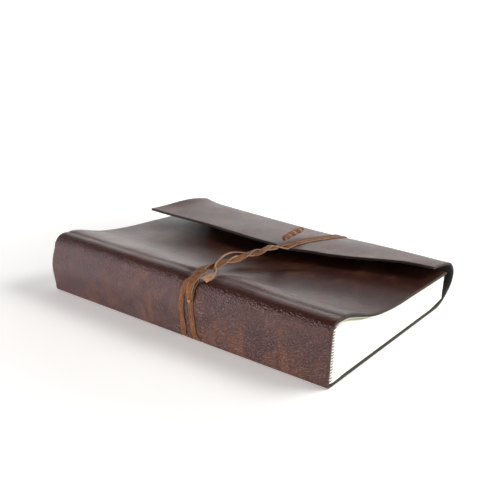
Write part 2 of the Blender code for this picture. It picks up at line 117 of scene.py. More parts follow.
# The pair between the shoulder and the flap: the middle line.
BUNDLE_ROUTE = (
    (166.8, 2.5, 57.6), (165.6, 12, 58.2), (167.2, 28, 58.2), (168.0, 42, 57.8), (168.8, 57, 57.4),
    (169.6, 74, 56.8), (170.2, 92, 56.0), (170.4, 106, 55.2), (170.2, 118, 54.0),
)
BUNDLE_TURNS = 2.0
BUNDLE_HALF = (2.1, 1.0)          # how far its strands lie from the middle: sideways, up and down
LOOP_TAIL_ROUTE = (
    (171, 70, 59.0), (166.5, 66, 59.8), (161.8, 60, 60.2), (161.8, 51, 60.4), (167.0, 35, 60.6),
    (173.4, 21, 60.2), (179.6, 13.4, 58.9), (180.6, 6, 57.4), (179.9, 0, 56.0),
)
FLAT_TAIL_ROUTE = (
    (172.5, 10, 59.6), (171.8, 2.0, 58.2), (170.4, -3.9, 53.6), (169.2, -5.8, 47.5), (169.0, -6.1, 41),
    (169.6, -6.0, 35.5),
)
COIL_TAIL_ROUTE = (
    (166.3, 137, 55.6), (163.2, 147, 55.0), (160.4, 158, 54.2), (158.2, 171, 53.4), (156.5, 184, 52.8),
)
COIL_RADIUS = 3.1
COIL_TURNS = 3.4
COIL_FLAT = 0.86                 # its height over its width

# ---------------------------------------------------------------- the page block
SECTIONS = 19
LEAVES_IN_SECTION = 4            # folded sheets
FOLD_NOSE = 2.6
PAPER_SHEET = 0.4
LEFT_SLACK = 1.6
NOSE_SWELL = 3.5                 # how far the folds stand out at the right end

rng = np.random.default_rng(11)


def in_frame(points):
    """Millimetres in the book's axes to metres in the frame."""
    return np.asarray(points, float) * MM + np.array(ORIGIN)


def spot(x, y, z):
    return tuple(in_frame((x, y, z)))


# ---------------------------------------------------------------- camera, light and floor
CAMERA_AT = (533.76, -441.31, 273.22)
CAMERA_AZIMUTH = 35.13
CAMERA_ELEVATION = 18.60
CAMERA_ROLL = 2.52
CAMERA_LENS = 54.0


def make_camera():
    data = bpy.data.cameras.new("camera")
    data.lens = CAMERA_LENS
    data.sensor_width = 36.0
    data.clip_start, data.clip_end = 0.02, 50.0
    camera = bpy.data.objects.new("camera", data)
    turn = Matrix.Rotation(math.radians(CAMERA_AZIMUTH), 4, "Z")
    tilt = Matrix.Rotation(math.radians(90 - CAMERA_ELEVATION), 4, "X")
    roll = Matrix.Rotation(math.radians(CAMERA_ROLL), 4, "Z")
    camera.matrix_world = Matrix.Translation(spot(*CAMERA_AT)) @ turn @ tilt @ roll
    bpy.context.collection.objects.link(camera)
    bpy.context.scene.camera = camera

# Name, place, size, watts, colour and the point that it faces, in metres of the frame.
LIGHTS = (
    ("key", (0.90, 0.70, 1.15), (0.9, 0.7), 19.0, (1.0, 0.985, 0.96)),
    ("front_left", (-0.80, -0.76, 0.07), (0.42, 0.10), 2.7, (0.62, 0.67, 1.0), (-0.08, -0.12, 0.04)),
    ("front_right", (-0.37, -0.98, 0.115), (0.36, 0.09), 5.2, (1.0, 0.80, 0.62), (0.09, -0.12, 0.04)),
    ("back", (-0.84, 1.22, 0.23), (1.1, 0.20), 1.2, (1.0, 0.95, 0.925)),
    ("right", (1.25, 0.05, 0.4), (0.6, 0.6), 3.5, (1.0, 0.99, 0.97)),
)


def area_light(name, at, size, power, colour, aim=(0, 0, 0.03)):
    data = bpy.data.lights.new(name, "AREA")
    data.shape = "RECTANGLE"
    data.size, data.size_y = size
    data.energy = power
    data.color = colour
    light = bpy.data.objects.new(name, data)
    light.location = at
    light.rotation_mode = "QUATERNION"
    light.rotation_quaternion = (Vector(aim) - Vector(at)).to_track_quat("-Z", "Y")
    bpy.context.collection.objects.link(light)


def make_world():
    """A white room whose ceiling is darker than its walls."""
    world = bpy.data.worlds.new("room")
    bpy.context.scene.world = world
    world.use_nodes = True
    tree = world.node_tree
    background = tree.nodes["Background"]
    direction = tree.nodes.new("ShaderNodeTexCoord")
    split = tree.nodes.new("ShaderNodeSeparateXYZ")
    ramp = tree.nodes.new("ShaderNodeValToRGB")
    tree.links.new(direction.outputs["Generated"], split.inputs[0])
    tree.links.new(split.outputs["Z"], ramp.inputs[0])
    tree.links.new(ramp.outputs[0], background.inputs["Color"])
    stops = ((0.0, 1.0), (0.06, 1.0), (0.14, 0.98), (0.24, 0.84), (0.34, 0.62), (0.46, 0.14), (1.0, 0.05))
    ramp.color_ramp.elements[0].position = stops[0][0]
    ramp.color_ramp.elements[1].position = stops[-1][0]
    for place, _ in stops[1:-1]:
        ramp.color_ramp.elements.new(place)
    for element, (_, level) in zip(ramp.color_ramp.elements, stops):
        element.color = (level, level, level * 1.01, 1.0)
    background.inputs["Strength"].default_value = 1.3


def make_floor():
    data = bpy.data.meshes.new("floor")
    half = 4.0
    data.from_pydata([(-half, -half, 0), (half, -half, 0), (half, half, 0), (-half, half, 0)], [],
                     [(0, 1, 2, 3)])
    floor = bpy.data.objects.new("floor", data)
    floor.location.z = -0.0002
    bpy.context.collection.objects.link(floor)
    looks = Looks("floor_paint")
    looks.set("Base Color", (0.93, 0.93, 0.93, 1.0))
    looks.set("Roughness", 0.85)
    # Lit evenly far from the book, so that the room has no dark end.
    away = looks.node("VectorMath", operation="LENGTH")
    looks.join(looks.place(), away.inputs[0])
    glow = looks.ramp(away.outputs["Value"], (0.22, 0.26), (0.70, 0.80))
    looks.set("Emission Color", (1.0, 1.0, 1.0, 1.0))
    looks.join(glow, looks.shader.inputs["Emission Strength"])
    data.materials.append(looks.material)


# ---------------------------------------------------------------- materials
class Looks:
    """A Principled material and the few node patterns that the surfaces here share."""

    def __init__(self, name):
        self.material = bpy.data.materials.new(name)
        self.material.use_nodes = True
        self.tree = self.material.node_tree
        self.shader = self.tree.nodes["Principled BSDF"]

    def node(self, kind, **settings):
        made = self.tree.nodes.new("ShaderNode" + kind)
        for name, value in settings.items():
            setattr(made, name, value)
        return made

    def join(self, source, target):
        self.tree.links.new(source, target)

    def set(self, socket, value):
        self.shader.inputs[socket].default_value = value

    def feed(self, socket, source):
        """A number or another node's output into a socket."""
        if isinstance(source, (int, float, tuple)):
            socket.default_value = source
        else:
            self.join(source, socket)

    def place(self, stretch=(1, 1, 1), uv=None):
        """Coordinates in metres: the hide's own, along its length and round its folds, or the object's."""
        if uv:
            start = self.node("UVMap", uv_map=uv).outputs["UV"]
        else:
            start = self.node("TexCoord").outputs["Object"]
        scaled = self.node("Mapping")
        self.join(start, scaled.inputs["Vector"])
        scaled.inputs["Scale"].default_value = stretch
        return scaled.outputs["Vector"]

    def noise(self, where, scale, detail=3.0, roughness=0.55, distortion=0.0):
        made = self.node("TexNoise")
        self.join(where, made.inputs["Vector"])
        made.inputs["Scale"].default_value = scale
        made.inputs["Detail"].default_value = detail
        made.inputs["Roughness"].default_value = roughness
        made.inputs["Distortion"].default_value = distortion
        return made.outputs["Fac"]

    def cells(self, where, scale, smoothness=0.25, randomness=1.0):
        made = self.node("TexVoronoi", feature="SMOOTH_F1")
        self.join(where, made.inputs["Vector"])
        made.inputs["Scale"].default_value = scale
        made.inputs["Smoothness"].default_value = smoothness
        made.inputs["Randomness"].default_value = randomness
        return made.outputs["Distance"]

    def ramp(self, value, *stops):
        """Stops are (place, colour or grey)."""
        made = self.node("ValToRGB")
        self.join(value, made.inputs["Fac"])
        made.color_ramp.elements[0].position = stops[0][0]
        made.color_ramp.elements[1].position = stops[-1][0]
        for place, _ in stops[1:-1]:
            made.color_ramp.elements.new(place)
        for element, (_, tone) in zip(made.color_ramp.elements, stops):
            element.color = (tone, tone, tone, 1) if isinstance(tone, (int, float)) else (*tone, 1)
        return made.outputs["Color"]

    def math(self, operation, first, second=0.0):
        made = self.node("Math", operation=operation)
        self.feed(made.inputs[0], first)
        self.feed(made.inputs[1], second)
        return made.outputs[0]

    def mix(self, share, first, second, blend="MIX"):
        made = self.node("Mix", data_type="RGBA", blend_type=blend)
        self.feed(made.inputs[0], share)
        for socket, source in ((made.inputs[6], first), (made.inputs[7], second)):
            if isinstance(source, tuple):
                socket.default_value = (*source, 1)
            else:
                self.join(source, socket)
        return made.outputs[2]

    def range(self, value, low, high, to_low, to_high):
        made = self.node("MapRange")
        self.join(value, made.inputs["Value"])
        limits = (("From Min", low), ("From Max", high), ("To Min", to_low), ("To Max", to_high))
        for name, number in limits:
            made.inputs[name].default_value = number
        return made.outputs["Result"]

    def bump(self, height, distance, strength=1.0, below=None):
        made = self.node("Bump")
        self.join(height, made.inputs["Height"])
        made.inputs["Distance"].default_value = distance
        self.feed(made.inputs["Strength"], strength)
        if below is not None:
            self.join(below, made.inputs["Normal"])
        return made.outputs["Normal"]

    def finish(self, colour=None, roughness=None, normal=None):
        for name, source in (("Base Color", colour), ("Roughness", roughness), ("Normal", normal)):
            if source is not None:
                self.join(source, self.shader.inputs[name])
        return self.material


HIDE_MAP = "hide"


def leather_looks():
    """Oiled brown leather: mottled, pebbled over the spine and smoother on the flat covers."""
    looks = Looks("oiled_leather")
    skin = looks.place(uv=HIDE_MAP)
    streaked = looks.place((1.0, 0.55, 1.0), uv=HIDE_MAP)
    split = looks.node("SeparateXYZ")
    looks.join(looks.node("UVMap", uv_map=HIDE_MAP).outputs["UV"], split.inputs[0])
    along = split.outputs["Y"]

    # The grain is deepest over the spine and its two corners, and pressed smooth on the covers.
    zone = looks.ramp(looks.range(along, -0.05, 0.12, 0, 1),
                      (0.0, 0.28), (0.29, 0.32), (0.335, 1.0), (0.60, 0.9), (0.72, 0.45), (1.0, 0.30))
    warp = looks.node("VectorMath", operation="ADD")
    jitter = looks.node("TexNoise")
    looks.join(skin, jitter.inputs["Vector"])
    jitter.inputs["Scale"].default_value = 300.0
    jitter.inputs["Detail"].default_value = 2.0
    shrink = looks.node("VectorMath", operation="SCALE")
    looks.join(jitter.outputs["Color"], shrink.inputs[0])
    shrink.inputs["Scale"].default_value = 0.0007
    looks.join(looks.place((0.78, 1.0, 1.0), uv=HIDE_MAP), warp.inputs[0])
    looks.join(shrink.outputs[0], warp.inputs[1])
    pebble = looks.cells(warp.outputs[0], 720.0, 0.3)
    small = looks.cells(warp.outputs[0], 1800.0, 0.3)
    grain = looks.math("ADD", looks.math("MULTIPLY", pebble, 0.75), looks.math("MULTIPLY", small, 0.25))
    domes = looks.math("SUBTRACT", 1.0, looks.math("POWER", grain, 1.3))
    pores = looks.noise(skin, 2600.0, 2.0)
    creases = looks.noise(streaked, 55.0, 5.0, 0.62, 0.6)

    cloud = looks.noise(skin, 16.0, 4.0, 0.6, 0.4)
    blotch = looks.noise(streaked, 48.0, 5.0, 0.62, 0.8)
    base = looks.ramp(cloud, (0.30, (0.050, 0.016, 0.011)), (0.50, (0.092, 0.028, 0.017)),
                      (0.72, (0.165, 0.054, 0.026)))
    warm = looks.ramp(blotch, (0.36, (0.040, 0.013, 0.011)), (0.52, (0.096, 0.029, 0.017)),
                      (0.66, (0.260, 0.092, 0.040)))
    colour = looks.mix(0.5, base, warm)
    # Painted shade along the shoulder's curve: the leather there is darkened to a deep red brown, in
    # patches.
    fold = looks.ramp(looks.range(along, -0.030, 0.030, 0, 1),
                      (0.0, 0.0), (0.45, 0.0), (0.51, 0.95), (0.62, 0.95), (0.74, 0.2), (1.0, 0.0))
    colour = looks.mix(looks.math("MULTIPLY", fold, looks.range(blotch, 0.3, 0.7, 0.45, 1.0)), colour,
                       (0.058, 0.014, 0.008))
    # Painted shade: the front cover is darkened well below the rest of the hide, the spine least.
    painted_cover_shade = looks.ramp(looks.range(along, -0.05, 0.12, 0, 1), (0.0, 0.52), (0.24, 0.60), (0.30, 0.72),
                     (0.74, 0.76), (0.9, 0.72), (1.0, 0.72))
    colour = looks.mix(1.0, colour, painted_cover_shade, "MULTIPLY")
    # Painted shade in the grain's hollows, and a touch lighter on its tops, most where the grain is deep.
    grain_hollow_shade = looks.ramp(grain, (0.22, 1.05), (0.58, 0.58))
    shaded = looks.mix(1.0, colour, grain_hollow_shade, "MULTIPLY")
    colour = looks.mix(looks.math("MULTIPLY", zone, 0.8), colour, shaded)

    rough = looks.math("ADD", looks.range(cloud, 0.3, 0.7, 0.33, 0.41),
                       looks.math("MULTIPLY", grain, 0.08))
    rough = looks.math("SUBTRACT", rough, looks.math("MULTIPLY", zone, 0.17))
    normal = looks.bump(creases, 0.0005, 0.35)
    normal = looks.bump(domes, 0.00085, zone, normal)
    normal = looks.bump(pores, 0.00006, 0.5, normal)
    # The flap, rubbed by hands, is a little duller.
    rough = looks.math("ADD", rough, looks.range(along, 0.08, 0.12, 0.0, 0.05))
    looks.set("Specular IOR Level", 0.45)
    looks.set("Specular Tint", (0.98, 0.93, 0.99, 1.0))
    return looks.finish(colour, rough, normal)


def cut_edge_looks():
    """The hide's cut edge: packed fibres, dyed dark."""
    looks = Looks("leather_cut_edge")
    where = looks.place((1.0, 1.0, 6.0))
    fibre = looks.noise(where, 420.0, 4.0, 0.7)
    colour = looks.ramp(fibre, (0.3, (0.009, 0.007, 0.006)), (0.7, (0.034, 0.024, 0.019)))
    rough = looks.range(fibre, 0.2, 0.8, 0.55, 0.8)
    return looks.finish(colour, rough, looks.bump(fibre, 0.0002, 0.6))


def lining_looks():
    looks = Looks("dark_lining")
    where = looks.place()
    nap = looks.noise(where, 900.0, 4.0, 0.65)
    cloud = looks.noise(where, 22.0, 3.0)
    colour = looks.mix(0.5, looks.ramp(nap, (0.3, (0.009, 0.007, 0.0065)), (0.75, (0.030, 0.023, 0.020))),
                       looks.ramp(cloud, (0.3, (0.010, 0.008, 0.008)), (0.7, (0.022, 0.017, 0.015))))
    rough = looks.range(nap, 0.2, 0.8, 0.62, 0.85)
    return looks.finish(colour, rough, looks.bump(nap, 0.00012, 0.7))


LACE_MAP = "lace"


def lace_looks(name, pale=False):
    """Split suede lace: fibres along it, and lighter edges, partly worn pale by scraping and partly a
    painted highlight.
    """
    looks = Looks(name)
    where = looks.place((1.0, 5.0, 1.0), uv=LACE_MAP)
    split = looks.node("SeparateXYZ")
    looks.join(looks.node("UVMap", uv_map=LACE_MAP).outputs["UV"], split.inputs[0])
    fibre = looks.noise(where, 330.0, 5.0, 0.7, 0.3)
    cloud = looks.noise(looks.place(uv=LACE_MAP), 70.0, 3.0, 0.6)
    nap = looks.noise(looks.place(), 1800.0, 3.0, 0.7)
    if pale:
        colour = looks.ramp(fibre, (0.3, (0.20, 0.095, 0.045)), (0.50, (0.36, 0.19, 0.105)),
                            (0.72, (0.56, 0.34, 0.21)))
    else:
        dark = looks.ramp(fibre, (0.38, (0.028, 0.010, 0.004)), (0.51, (0.150, 0.056, 0.018)),
                          (0.68, (0.38, 0.170, 0.068)))
        light = looks.ramp(cloud, (0.3, (0.085, 0.030, 0.010)), (0.7, (0.255, 0.100, 0.034)))
        colour = looks.mix(0.45, dark, light)
        # The UV map's second coordinate is the distance round the lace, in metres, from one edge.
        edge = looks.math("ABSOLUTE", looks.math("SINE", looks.math("MULTIPLY", split.outputs["Y"],
                                                                   math.pi / (LACE_WIDTH * MM))))
        # Lighter along both edges: partly worn by scraping, partly a painted highlight.
        scraped_and_highlit_edge = looks.ramp(edge, (0.0, 1.0), (0.48, 0.8), (0.72, 0.0))
        scraped_and_highlit_edge = looks.math("MULTIPLY", scraped_and_highlit_edge, looks.range(cloud, 0.3, 0.62, 0.25, 1.0))
        colour = looks.mix(scraped_and_highlit_edge, colour, (0.47, 0.28, 0.17))
    rough = looks.range(nap, 0.2, 0.8, 0.66, 0.9)
    looks.set("Sheen Weight", 0.08)
    looks.set("Sheen Roughness", 0.5)
    looks.set("Specular IOR Level", 0.3)
    normal = looks.bump(fibre, 0.0005, 0.9)
    return looks.finish(colour, rough, looks.bump(nap, 0.00010, 0.6, normal))


def paper_looks(name, low, high):
    looks = Looks(name)
    where = looks.place()
    fibre = looks.noise(where, 1300.0, 4.0, 0.6)
    cloud = looks.noise(where, 30.0, 3.0, 0.5)
    colour = looks.mix(0.4, looks.ramp(fibre, (0.3, low), (0.7, high)),
                       looks.ramp(cloud, (0.3, low), (0.7, high)))
    rough = looks.range(fibre, 0.2, 0.8, 0.82, 0.95)
    looks.set("Specular IOR Level", 0.25)
    return looks.finish(colour, rough, looks.bump(fibre, 0.00006, 0.5))


def cloth_looks():
    """Open glued cotton cloth, amber where the glue has soaked it."""
    looks = Looks("binding_cloth")
    threads = []
    for axis in ("X", "Z"):
        wave = looks.node("TexWave", wave_type="BANDS", bands_direction=axis)
        looks.join(looks.place(), wave.inputs["Vector"])
        wave.inputs["Scale"].default_value = 260.0
        wave.inputs["Distortion"].default_value = 0.4
        threads.append(wave.outputs["Fac"])
    weave = looks.math("MAXIMUM", *threads)
    cloud = looks.noise(looks.place(), 60.0, 3.0)
    colour = looks.mix(looks.range(cloud, 0.35, 0.65, 0.2, 0.9), (0.72, 0.60, 0.38), (0.62, 0.34, 0.10))
    colour = looks.mix(1.0, colour, looks.ramp(weave, (0.0, 0.6), (1.0, 1.0)), "MULTIPLY")
    rough = looks.range(weave, 0.0, 1.0, 0.95, 0.75)
    return looks.finish(colour, rough, looks.bump(weave, 0.00015, 0.8))


# ---------------------------------------------------------------- numbers
def through(pairs, at, column=1):
    """A smooth curve through (place, value, ...) pairs, read at one or many places."""
    table = np.array(pairs, float)
    places, values = table[:, 0], table[:, column]
    slopes = np.gradient(values, places)
    at = np.clip(np.asarray(at, float), places[0], places[-1])
    i = np.clip(np.searchsorted(places, at) - 1, 0, len(places) - 2)
    span = places[i + 1] - places[i]
    t = (at - places[i]) / span
    return ((2 * t**3 - 3 * t**2 + 1) * values[i] + (t**3 - 2 * t**2 + t) * span * slopes[i]
            + (3 * t**2 - 2 * t**3) * values[i + 1] + (t**3 - t**2) * span * slopes[i + 1])


def hump(distance, width):
    """1 at no distance, and fading out over the width."""
    return np.exp(-((distance / width) ** 2))


def ease(value):
    value = np.clip(value, 0.0, 1.0)
    return value * value * (3 - 2 * value)


def unit(vectors):
    return vectors / np.maximum(np.linalg.norm(vectors, axis=-1, keepdims=True), 1e-12)


def run_along(line):
    """Distance along a line at each of its points."""
    return np.concatenate([[0], np.cumsum(np.linalg.norm(np.diff(line, axis=0), axis=1))])


def smooth_line(controls, step):
    """Evenly spaced points on a smooth curve through the control points."""
    controls = np.array(controls, float)
    run = run_along(controls)
    fine = np.linspace(0, run[-1], max(int(run[-1] / 0.25), 8))
    line = np.stack([through(np.stack([run, controls[:, k]], 1), fine) for k in range(3)], 1)
    return spaced(line, step)


def spaced(line, step):
    run = run_along(line)
    places = np.linspace(0, run[-1], max(int(round(run[-1] / step)), 3) + 1)
    return np.stack([np.interp(places, run, line[:, k]) for k in range(3)], 1)


# ---------------------------------------------------------------- the hide's surface
# Finer near the lace.
X_STATIONS = np.concatenate([np.linspace(0, 141, 48), np.linspace(142.5, 216, 50),
                             np.linspace(219, LENGTH, 28)])
SHOULDER_Y = SPINE_FACE_Y + SHOULDER_RADIUS
RISE = math.radians(RISE_ANGLE)
RISE_RUN = (BAND_CENTRE[1] - FOLD_RADIUS + (FOLD_RADIUS - BAND_RADIUS) * math.cos(RISE)) / math.sin(RISE)
RISE_Y = (BAND_CENTRE[0] - RISE_RUN * math.cos(RISE)
          - (FOLD_RADIUS - BAND_RADIUS) * math.sin(RISE))
FLAP_LEAVE = 80.0                # the band ends at this angle and the flap runs on


def cover_height(x, y):
    """Outer surface of the front cover, before the lace presses it."""
    share = x / LENGTH
    right = through(COVER_OUTLINE, y, 1)
    left = through(COVER_OUTLINE, y, 2)
    return right * share + left * (1 - share)


# X, at a distance Y, of the groove that the pulled leather buckles along: it leaves the lace for the flap.
GROOVE = ((16, 172.0), (30, 168.0), (50, 163.5), (73, 163.0), (93, 172.0), (108, 182.0), (122, 195.0),
          (136, 205.0))


def lace_press(x, y):
    """How far the lace pulls the cover's spine side down, and how the leather swells beside it."""
    dent = 2.8 * hump(x - 166, 9) * hump(y - 18, 20)
    beside = x - through(GROOVE, y)
    groove = 2.5 * np.where(beside < 0, hump(beside, 4.6), hump(beside, 9.0))
    dent += groove * ease((y - 20) / 14) * ease((130 - y) / 16)
    swell = 1.8 * hump(x - 202, 24) * hump(y - 24, 20) + 0.6 * hump(x - 140, 18) * hump(y - 20, 12)
    rise = 2.4 * hump(x - 218, 46) * hump(y - 126, 26)
    return dent - swell - rise


def outline_parts(x):
    """The hide's outer side as parts of (y, z), each shaped (stations, points)."""
    one = np.ones_like(x)
    share = x / LENGTH
    radius = SHOULDER_RADIUS + SHOULDER_SWELL * (1 - share) ** 1.5
    middle_y = SPINE_FACE_Y + radius
    top = cover_height(x, middle_y)
    parts = []

    far = np.linspace(COVER_EDGE_Y, 100, 44)[None, :]
    near = np.linspace(0, 1, 48)[None, :]
    y = np.concatenate([far * one, 98 + (middle_y - 98) * near], 1)
    parts.append(("cover", y, cover_height(x, y)))

    turn = np.radians(np.linspace(90, 180, 15)[1:])[None, :]
    parts.append(("shoulder", middle_y + radius * np.cos(turn), top - radius + radius * np.sin(turn)))

    down = np.linspace(0, 1, 26)[None, 1:]
    z = (top - radius) * (1 - down) + CORNER_RADIUS * down
    bulge = (3.1 * (1 - share) ** 1.5 + 0.4) * np.sin(np.pi * down**0.8) ** 1.5
    parts.append(("spine", SPINE_FACE_Y - bulge, z))

    turn = np.radians(np.linspace(180, 270, 8)[1:])[None, :]
    parts.append(("corner", (SPINE_FACE_Y + CORNER_RADIUS + CORNER_RADIUS * np.cos(turn)) * one,
                  (CORNER_RADIUS + CORNER_RADIUS * np.sin(turn)) * one))

    y = np.concatenate([np.linspace(3, 8, 3), np.linspace(12, RISE_Y, 50)])[None, :]
    parts.append(("underside", y * one, 0 * y * one))

    turn = np.radians(np.linspace(-90, -90 + RISE_ANGLE, 12)[1:])[None, :]
    parts.append(("rise", (RISE_Y + FOLD_RADIUS * np.cos(turn)) * one,
                  (FOLD_RADIUS + FOLD_RADIUS * np.sin(turn)) * one))

    run = np.linspace(0, RISE_RUN, 7)[None, 1:-1]
    parts.append(("run", (RISE_Y + FOLD_RADIUS * math.sin(RISE) + run * math.cos(RISE)) * one,
                  (FOLD_RADIUS * (1 - math.cos(RISE)) + run * math.sin(RISE)) * one))

    turn = np.radians(np.linspace(-90 + RISE_ANGLE, 0, 16))[None, :]
    parts.append(("band_low", (BAND_CENTRE[0] + BAND_RADIUS * np.cos(turn)) * one,
                  (BAND_CENTRE[1] + BAND_RADIUS * np.sin(turn)) * one))

    high = through(BAND_RISE, x)
    # The band's upper side is a rounded corner, a little flattened towards the right end.
    power = 2 / (2.0 - 0.35 * ease((x - 250) / 50))
    turn = np.radians(np.linspace(0, FLAP_LEAVE, 22)[1:])[None, :]
    band_y = BAND_CENTRE[0] + BAND_RADIUS * np.cos(turn) ** power
    band_z = BAND_CENTRE[1] + high * np.sin(turn) ** power
    parts.append(("band_high", band_y, band_z))

    leave = unit(np.stack([band_y[:, -1] - band_y[:, -2], band_z[:, -1] - band_z[:, -2]], 1))
    edge = np.stack([through(FLAP_EDGE_Y, x[:, 0]), through(FLAP_EDGE_Z, x[:, 0])], 1)
    start = np.stack([band_y[:, -1], band_z[:, -1]], 1)
    reach = np.linalg.norm(edge - start, axis=1, keepdims=True)
    arrive = unit(edge - start) * np.array([1.0, 0.72])
    t = np.linspace(0, 1, 52)[None, 1:, None]
    flap = ((2 * t**3 - 3 * t**2 + 1) * start[:, None] + (t**3 - 2 * t**2 + t) * (leave * reach)[:, None]
            + (3 * t**2 - 2 * t**3) * edge[:, None] + (t**3 - t**2) * (arrive * reach)[:, None])
    parts.append(("flap", flap[..., 0], flap[..., 1]))
    return parts


def surface_normals(grid):
    """Outward unit normals of the hide's grid, which runs along X and then along the hide."""
    return unit(np.cross(np.gradient(grid, axis=1), np.gradient(grid, axis=0)))


class Hide:
    """The hide's outer surface as a grid, with what every other piece needs to lie on it."""

    def __init__(self):
        x = X_STATIONS[:, None]
        self.column = {}
        ys, zs, count = [], [], 0
        for name, y, z in outline_parts(x):
            self.column[name] = (count, count + y.shape[1] - 1)
            count += y.shape[1]
            ys.append(y)
            zs.append(z)
        y, z = np.concatenate(ys, 1), np.concatenate(zs, 1)
        rest = np.stack([x * np.ones_like(y), y, z], 2)
        normals = surface_normals(rest)
        self.base = rest + normals * self.relief(rest)[..., None]
        self.skin = self.base - surface_normals(self.base) * self.channels(rest)[..., None]
        self.normals = surface_normals(self.skin)
        self.base_normals = surface_normals(self.base)
        lengths = np.linalg.norm(np.diff(self.base, axis=1), axis=2)
        run = np.concatenate([np.zeros((len(x), 1)), np.cumsum(lengths, 1)], 1)
        run -= run[:, self.column["shoulder"][0], None]
        self.map = np.stack([self.base[..., 0] * MM, run * MM], 2)

    def mask(self, *names):
        shape = np.zeros(sum(b - a + 1 for a, b in self.column.values()))
        for name in names:
            first, last = self.column[name]
            shape[first:last + 1] = 1.0
        return shape[None, :]

    def relief(self, rest):
        """How far the leather stands out of its plain outline: pulls, dents and slow waves."""
        x, y, z = rest[..., 0], rest[..., 1], rest[..., 2]
        upper = self.mask("cover", "shoulder")
        spine = self.mask("spine", "shoulder")
        flap = self.mask("flap", "band_high")
        out = -lace_press(x, np.maximum(y, 0)) * upper * ease((z - 30) / 12)
        wave = (0.30 * np.sin(x / 23 + y / 31 + 0.6) + 0.22 * np.sin(x / 11.3 - y / 17 + 2.1)
                + 0.12 * np.sin(x / 6.1 + y / 9.7))
        out += wave * self.mask("cover") * ease((y - 12) / 20) * 0.8
        ripple = 0.16 * np.sin(x / 9.0 + z / 14) + 0.14 * np.sin(x / 17 - z / 9 + 1.0)
        out += ripple * self.mask("spine") * (ease((z - 5) / 8) * ease((48 - z) / 8))
        # A shallow groove just behind the shoulder.
        out -= 0.40 * hump(y - 14.5, 3.0) * self.mask("cover")
        out += 0.20 * hump(y - 21, 6) * self.mask("cover")
        for strand in SPINE_STRANDS:
            beside = np.abs(x - through(strand, z))
            out -= (0.5 * hump(beside, 3.2) - 0.22 * hump(beside - 5.0, 2.4)) * spine * ease((z - 3) / 6)
        near_edge = ease((205 - y) / 60)
        out += wave * flap * 0.55 * near_edge * ease((240 - y) / 20)
        for strand in FLAP_STRANDS:
            beside = np.abs(x - through(strand, np.minimum(y, 225)))
            out -= 0.35 * hump(beside, 3.4) * flap
        return out

    def channels(self, rest):
        """The lace is pressed into the underside."""
        x, y = rest[..., 0], rest[..., 1]
        below = self.mask("corner", "underside", "rise")
        deep = 0.0
        for first, last in zip(UNDER_START_X, BAND_STRAND_X):
            middle = first + (last - first) * np.clip((y - 3) / (RISE_Y - 3), 0, 1)
            deep = deep + 1.2 * (1 - ease((np.abs(x - middle) - LACE_WIDTH / 2 - 0.1) / 1.6))
        return deep * below * ease((230 - y) / 20)

    def read(self, row, columns, axis):
        """One coordinate of the base surface at some columns of a row."""
        return np.interp(columns, np.arange(self.base.shape[1]), self.base[row, :, axis])

    def on(self, x, column, lift=0.0):
        """A point on the skin at x and at a column, lifted off it, and the way the skin faces."""
        i = np.interp(x, X_STATIONS, np.arange(len(X_STATIONS)))
        found = []
        for grid in (self.skin, self.normals):
            i0 = np.clip(np.floor(i).astype(int), 0, len(X_STATIONS) - 2)
            j0 = np.clip(np.floor(column).astype(int), 0, grid.shape[1] - 2)
            a, b = (i - i0)[:, None], (column - j0)[:, None]
            found.append(grid[i0, j0] * (1 - a) * (1 - b) + grid[i0 + 1, j0] * a * (1 - b)
                         + grid[i0, j0 + 1] * (1 - a) * b + grid[i0 + 1, j0 + 1] * a * b)
        facing = unit(found[1])
        return found[0] + facing * np.reshape(lift, (-1, 1)), facing


# ---------------------------------------------------------------- mesh helpers
def make_piece(name, points, faces, materials, face_material=None, uv=None, uv_name=None, normals=None):
    mesh = bpy.data.meshes.new(name)
    mesh.from_pydata(in_frame(points).tolist(), [], [tuple(map(int, face)) for face in faces])
    for material in materials:
        mesh.materials.append(material)
    if face_material is not None:
        mesh.polygons.foreach_set("material_index", np.asarray(face_material, np.int32))
    mesh.polygons.foreach_set("use_smooth", np.ones(len(mesh.polygons), bool))
    if uv is not None:
        corner = np.zeros(len(mesh.loops), np.int32)
        mesh.loops.foreach_get("vertex_index", corner)
        layer = mesh.uv_layers.new(name=uv_name)
        layer.data.foreach_set("uv", np.asarray(uv, np.float32)[corner].ravel())
    if normals is not None:
        mesh.normals_split_custom_set_from_vertices(unit(np.asarray(normals, float)).tolist())
    mesh.validate()
    made = bpy.data.objects.new(name, mesh)
    bpy.context.collection.objects.link(made)
    return made


EDGE_ROUND = 0.34


